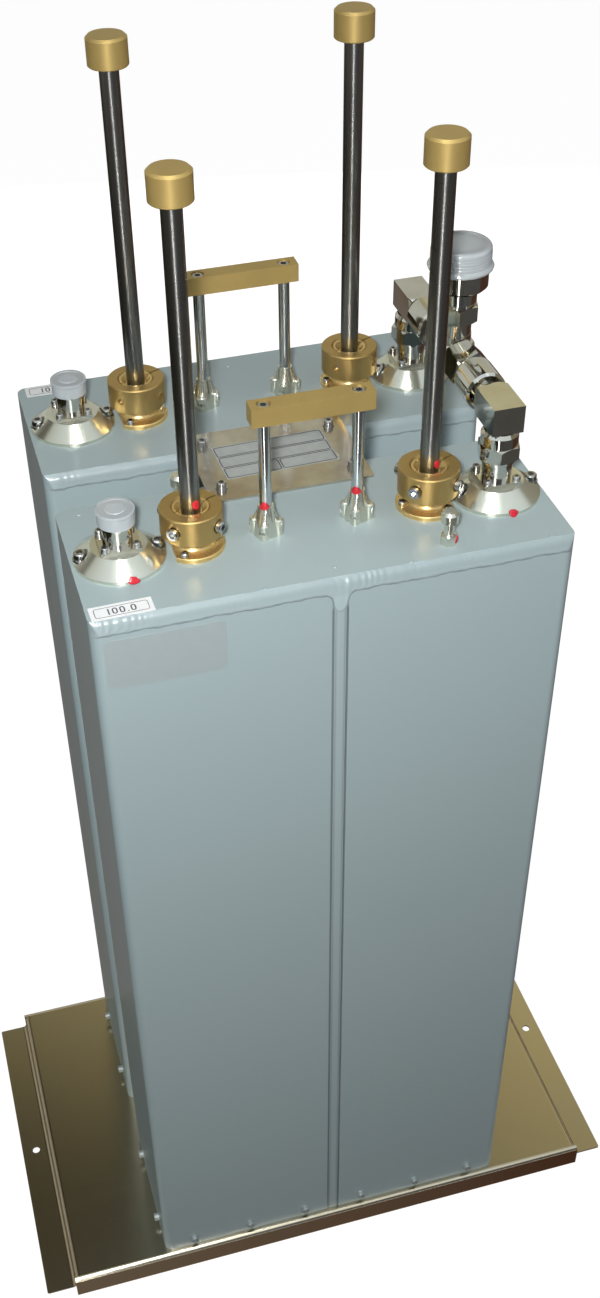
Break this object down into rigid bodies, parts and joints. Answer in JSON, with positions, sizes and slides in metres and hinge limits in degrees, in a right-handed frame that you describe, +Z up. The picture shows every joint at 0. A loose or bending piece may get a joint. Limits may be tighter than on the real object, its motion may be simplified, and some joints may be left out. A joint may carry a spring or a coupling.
{
  "type": "cavity filter combiner",
  "caption": "Two tall painted twin-cavity coaxial filters on a folded base plate, with sliding tuning rods, coupling adjusters, capped input couplers and a teed output line.",
  "frame": {"origin": "middle of the overall box at the lower edges of the base plate's front and rear lips", "axes": "+Z up along the tuning rods, +X across the cabinets towards the output side, +Y from the front cabinet to the rear one"},
  "size_m": [0.68, 0.391, 1.273],
  "materials": {
    "cabinet_paint": "satin blue-grey paint on welded aluminium",
    "base_sheet": "bright rolled sheet steel",
    "bridge_sheet": "brushed sheet steel",
    "turned_brass": "turned brass",
    "rod_steel": "dark satin steel bar",
    "gold_anodised": "satin gold anodised",
    "silver_plate": "satin silver plate",
    "bright_nickel": "polished nickel plate",
    "fasteners": "bright plated steel",
    "bare_aluminium": "plain machined",
    "dust_cap": "milky translucent polyethylene"
  },
  "bodies": {
    "chassis": {"base_plate": "base_sheet", "front_cabinet": "cabinet_paint", "rear_cabinet": "cabinet_paint", "floor_pans": "bare_aluminium", "floor_screws": "fasteners", "front_left_bush": "turned_brass", "front_right_bush": "turned_brass", "rear_left_bush": "turned_brass", "rear_right_bush": "turned_brass", "front_left_collar": "turned_brass", "front_right_collar": "turned_brass", "rear_left_collar": "turned_brass", "rear_right_collar": "turned_brass", "resonators": "bare_aluminium", "bush_screws": "fasteners", "collar_screws": "fasteners", "front_glands": "silver_plate", "rear_glands": "silver_plate", "gland_screws": "fasteners", "front_input_hub": "silver_plate", "rear_input_hub": "silver_plate", "front_output_hub": "silver_plate", "rear_output_hub": "silver_plate", "front_input_connector": "bright_nickel", "rear_input_connector": "bright_nickel", "front_output_connector": "bright_nickel", "rear_output_connector": "bright_nickel", "hub_screws": "fasteners", "connector_screws": "fasteners", "front_input_cap": "dust_cap", "rear_input_cap": "dust_cap", "coupling_nuts": "bright_nickel", "front_elbow": "bright_nickel", "rear_elbow": "bright_nickel", "tee_body": "bright_nickel", "output_socket": "bright_nickel", "output_cap": "dust_cap", "bridge_plate": "bridge_sheet", "bridge_screws": "fasteners", "probes": "silver_plate"},
    "front_left_tuner": {"front_left_rod": "rod_steel", "front_left_knob": "gold_anodised", "front_left_plunger": "bare_aluminium"},
    "front_right_tuner": {"front_right_rod": "rod_steel", "front_right_knob": "gold_anodised", "front_right_plunger": "bare_aluminium"},
    "front_coupling": {"front_coupling_bar": "gold_anodised", "front_coupling_loop": "silver_plate", "front_bar_screws": "fasteners"},
    "rear_left_tuner": {"rear_left_rod": "rod_steel", "rear_left_knob": "gold_anodised", "rear_left_plunger": "bare_aluminium"},
    "rear_right_tuner": {"rear_right_rod": "rod_steel", "rear_right_knob": "gold_anodised", "rear_right_plunger": "bare_aluminium"},
    "rear_coupling": {"rear_coupling_bar": "gold_anodised", "rear_coupling_loop": "silver_plate", "rear_bar_screws": "fasteners"}
  },
  "joints": [
    {"name": "front_left_tuning", "type": "slide", "parent": "chassis", "child": "front_left_tuner", "axis": [0, 0, 1], "range_m": [-0.126, 0.037]},
    {"name": "front_right_tuning", "type": "slide", "parent": "chassis", "child": "front_right_tuner", "axis": [0, 0, 1], "range_m": [-0.126, 0.037]},
    {"name": "front_coupling_adjust", "type": "slide", "parent": "chassis", "child": "front_coupling", "axis": [0, 0, 1], "range_m": [-0.025, 0.025]},
    {"name": "rear_left_tuning", "type": "slide", "parent": "chassis", "child": "rear_left_tuner", "axis": [0, 0, 1], "range_m": [-0.149, 0.014]},
    {"name": "rear_right_tuning", "type": "slide", "parent": "chassis", "child": "rear_right_tuner", "axis": [0, 0, 1], "range_m": [-0.149, 0.014]},
    {"name": "rear_coupling_adjust", "type": "slide", "parent": "chassis", "child": "rear_coupling", "axis": [0, 0, 1], "range_m": [-0.025, 0.025]}
  ]
}
